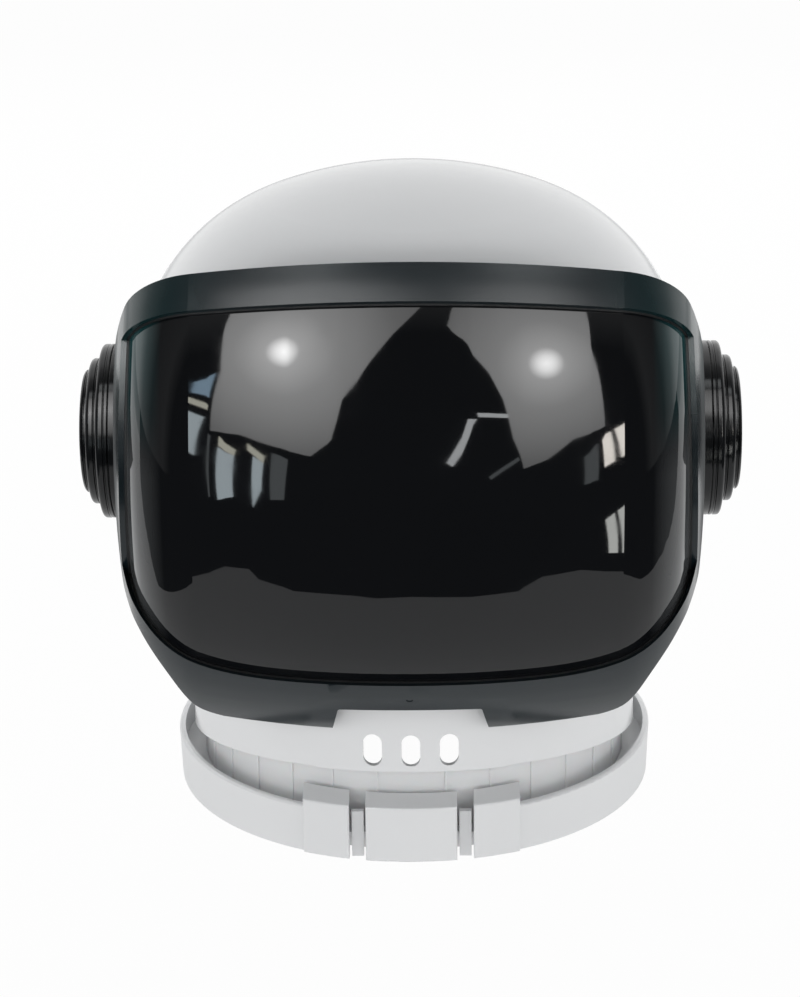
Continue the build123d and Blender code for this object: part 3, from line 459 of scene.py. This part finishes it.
left_box = [
    (-50, 62), (-34, 70), (-18, 70), (5, 66), (-4, 53), (-8, 40), (-10, 29), (-11, 15), (-13, 9), (-18, 12),
    (-23, 16), (-27, 17), (-31, 38), (-44, 59),
]
right_box = [
    (7, 56), (13, 66), (26, 69), (43, 66), (41, 59), (32, 46), (28, 31), (26, 18), (21, 14), (17, 7), (14, 4),
    (13, 15), (13, 29), (12, 38), (10, 49),
]
box_tops = [
    [(-60, 68), (-70, 82), (-42, 84), (-32, 71)],
    [(32, 70), (42, 83), (74, 82), (60, 67)],
]
high_pane = [(-35.0, 33.8), (-33.2, 37.3), (-31.4, 28.7), (-34.0, 30.4)]
left_panes = [
    [(-33.1, 24.9), (-30.7, 22.1), (-29.4, 8.6), (-31.5, 12.9)],
    [(-27.0, 12.0), (-24.3, 9.2), (-24.0, -5.5), (-26.3, -6.8)],
    [(-21.9, 9.4), (-20.3, 7.0), (-20.3, -2.7), (-21.6, -9.3)],
]
beams = [
    [(-27.3, 15.9), (-24.3, 11.3), (-24.3, 9.2), (-27.0, 12.4)],
    [(-23.1, 13.9), (-20.3, 9.5), (-20.3, 7.0), (-22.9, 11.4)],
    [(-33.9, 29.0), (-31.0, 26.2), (-30.8, 24.4), (-33.5, 27.2)],
]
dim_panes = [
    [(-29.1, 16.7), (-28.4, 15.8), (-27.3, -5.8), (-27.7, -5.9)],
    [(-19.5, 10.7), (-17.0, 8.4), (-17.5, -6.1), (-19.3, -6.2)],
    [(23.2, 8.2), (25.7, 12.8), (24.9, -0.3), (22.8, -1.8)],
    [(10.1, 2.3), (14.4, 9.1), (14.6, 8.0), (10.4, 1.2)],
]
right_panes = [
    [(26.5, 13.8), (28.0, 16.8), (27.2, 6.2), (26.2, 3.8)],
    [(28.4, 17.4), (29.9, 20.0), (29.3, 10.9), (27.7, 7.2)],
]
floor_shine = [
    [(32.9, -12.0), (33.7, -9.5), (36.2, -24.1), (35.1, -24.1)],
    [(34.0, -8.8), (35.0, -6.1), (38.3, -24.1), (36.7, -24.1)],
]
tube = [
    [(8.0, 23.1), (9.6, 23.0), (5.3, 6.1), (4.7, 7.6)],
    [(9.8, 25.2), (14.1, 24.5), (14.0, 23.1), (9.8, 23.7)],
]
left_bulb = (-23.2, 45.5)
right_bulb = (22.3, 41)
box_distance = 1.6
window_distance = 0.95
shine_distance = 0.36
left_box_white = (0.97, 0.985, 1, 1)
right_box_white = (0.95, 0.99, 1, 1)
reflected = [
    room,
    card("left_soft_box", [left_box], box_distance, strength=23.0, color=left_box_white, bulb=left_bulb),
    card("right_soft_box", [right_box], box_distance, strength=20.0, color=right_box_white, bulb=right_bulb),
    card("box_tops", box_tops, box_distance, strength=2.2, color=right_box_white),
    card("high_pane", [high_pane], window_distance, strength=5.5, color=(0.55, 0.78, 1.0, 1)),
    card("left_window", left_panes, window_distance, strength=6.6, color=(0.82, 0.94, 1.0, 1)),
    card("beams", beams, window_distance, strength=6.4, color=(1.0, 0.99, 0.84, 1)),
    card("dim_panes", dim_panes, window_distance, strength=1.2, color=(0.9, 0.97, 1.0, 1)),
    card("right_window", right_panes, window_distance, strength=15.0, color=(1.0, 0.95, 0.88, 1)),
    card("floor_shine", floor_shine, shine_distance, strength=8.0, color=(0.98, 1.0, 0.96, 1)),
    card("tube", tube, window_distance, strength=6.5, color=(0.95, 0.98, 1.0, 1)),
]
for piece in reflected:
    for ray in ("camera", "diffuse", "shadow", "transmission", "volume_scatter"):
        setattr(piece, "visible_" + ray, False)

# Lights that reach the helmet: what the soft boxes and the white walls throw on it from the sides, a
# low strip in front, a lamp behind, and a soft fill that is stronger from the sides than from above.
fill_color = (0.97, 0.99, 1, 1)
side_fill = 0.60
fill_loss_above = 0.28
world = bpy.data.worlds.new("studio")
bpy.context.scene.world = world
world.use_nodes = True
air = Wire(world.node_tree)
camera_rays = air.node("LightPath", out="Is Camera Ray")
seen = camera_rays + camera_rays.beside("Is Glossy Ray") + camera_rays.beside("Is Transmission Ray")
upward = ramp(air.node("SeparateXYZ", out="Z", Vector=air.node("TexCoord", out="Generated")), 0.0, 1.0)
fill = air.node("Background", Color=fill_color, Strength=side_fill - fill_loss_above * upward)
blank = air.node("Background", Color=pure_white, Strength=1.0)
surround = air.node("MixShader", i0=ramp(seen, 0.0, 1.0), i1=fill, i2=blank)
air.tree.links.new(surround.socket, air.tree.nodes["World Output"].inputs["Surface"])


def lamp(name, azimuth, elevation, distance, size, radiance):
    """A flat lamp of a given width, height and radiance, aimed at the helmet and hidden from mirrors."""
    light = bpy.data.lights.new(name, "AREA")
    light.shape = "RECTANGLE"
    light.size, light.size_y = size
    light.energy = radiance * math.pi * size[0] * size[1]
    away = toward(azimuth, elevation)
    facing = away.to_track_quat("Z", "Y").to_matrix().to_4x4()
    spot = bpy.data.objects.new(name, light)
    spot.matrix_world = Matrix.Translation(aim + away * distance) @ facing
    spot.visible_camera = False
    spot.visible_glossy = False
    bpy.context.scene.collection.objects.link(spot)


lamp_distance = 1.7
for side in (-1, 1):
    lamp("soft_box", side * 60, elevation=8, distance=lamp_distance, size=(1.0, 1.2), radiance=1.2)
    lamp("side_wall", side * 110, elevation=5, distance=lamp_distance, size=(0.8, 1.2), radiance=1.5)
lamp("front_strip", 0, elevation=1, distance=lamp_distance, size=(2.2, 0.5), radiance=1.8)
lamp("back_box", 180, elevation=28, distance=1.8, size=(1.6, 1.2), radiance=2.2)

# Camera: fitted to the photograph, 1.5 m from the visor's pivot, 18 degrees above it and slightly
# to one side.
pivot = Vector((0, -0.005, pivot_height))
camera_distance = 1.5
camera_elevation = math.radians(18)
camera_side_angle = math.radians(0.9)
camera_roll = math.radians(-0.6)
focal_pixels = 3000
picture_height_pixels = 997
pivot_off_centre_pixels = (11, -69.5)
optics = bpy.data.cameras.new("camera")
optics.sensor_width = 36
optics.lens = optics.sensor_width * focal_pixels / picture_height_pixels
optics.shift_x = -pivot_off_centre_pixels[0] / picture_height_pixels
optics.shift_y = pivot_off_centre_pixels[1] / picture_height_pixels
optics.clip_start = 0.01
camera = bpy.data.objects.new("camera", optics)
tilt = Matrix.Rotation(math.pi / 2 - camera_elevation, 4, "X")
gaze = Matrix.Rotation(camera_side_angle, 4, "Z") @ tilt
stand = pivot - (gaze @ Vector((0, 0, -1))) * camera_distance
camera.matrix_world = Matrix.Translation(stand) @ gaze @ Matrix.Rotation(camera_roll, 4, "Z")
bpy.context.scene.collection.objects.link(camera)
bpy.context.scene.camera = camera
bpy.context.scene.view_settings.view_transform = "Standard"
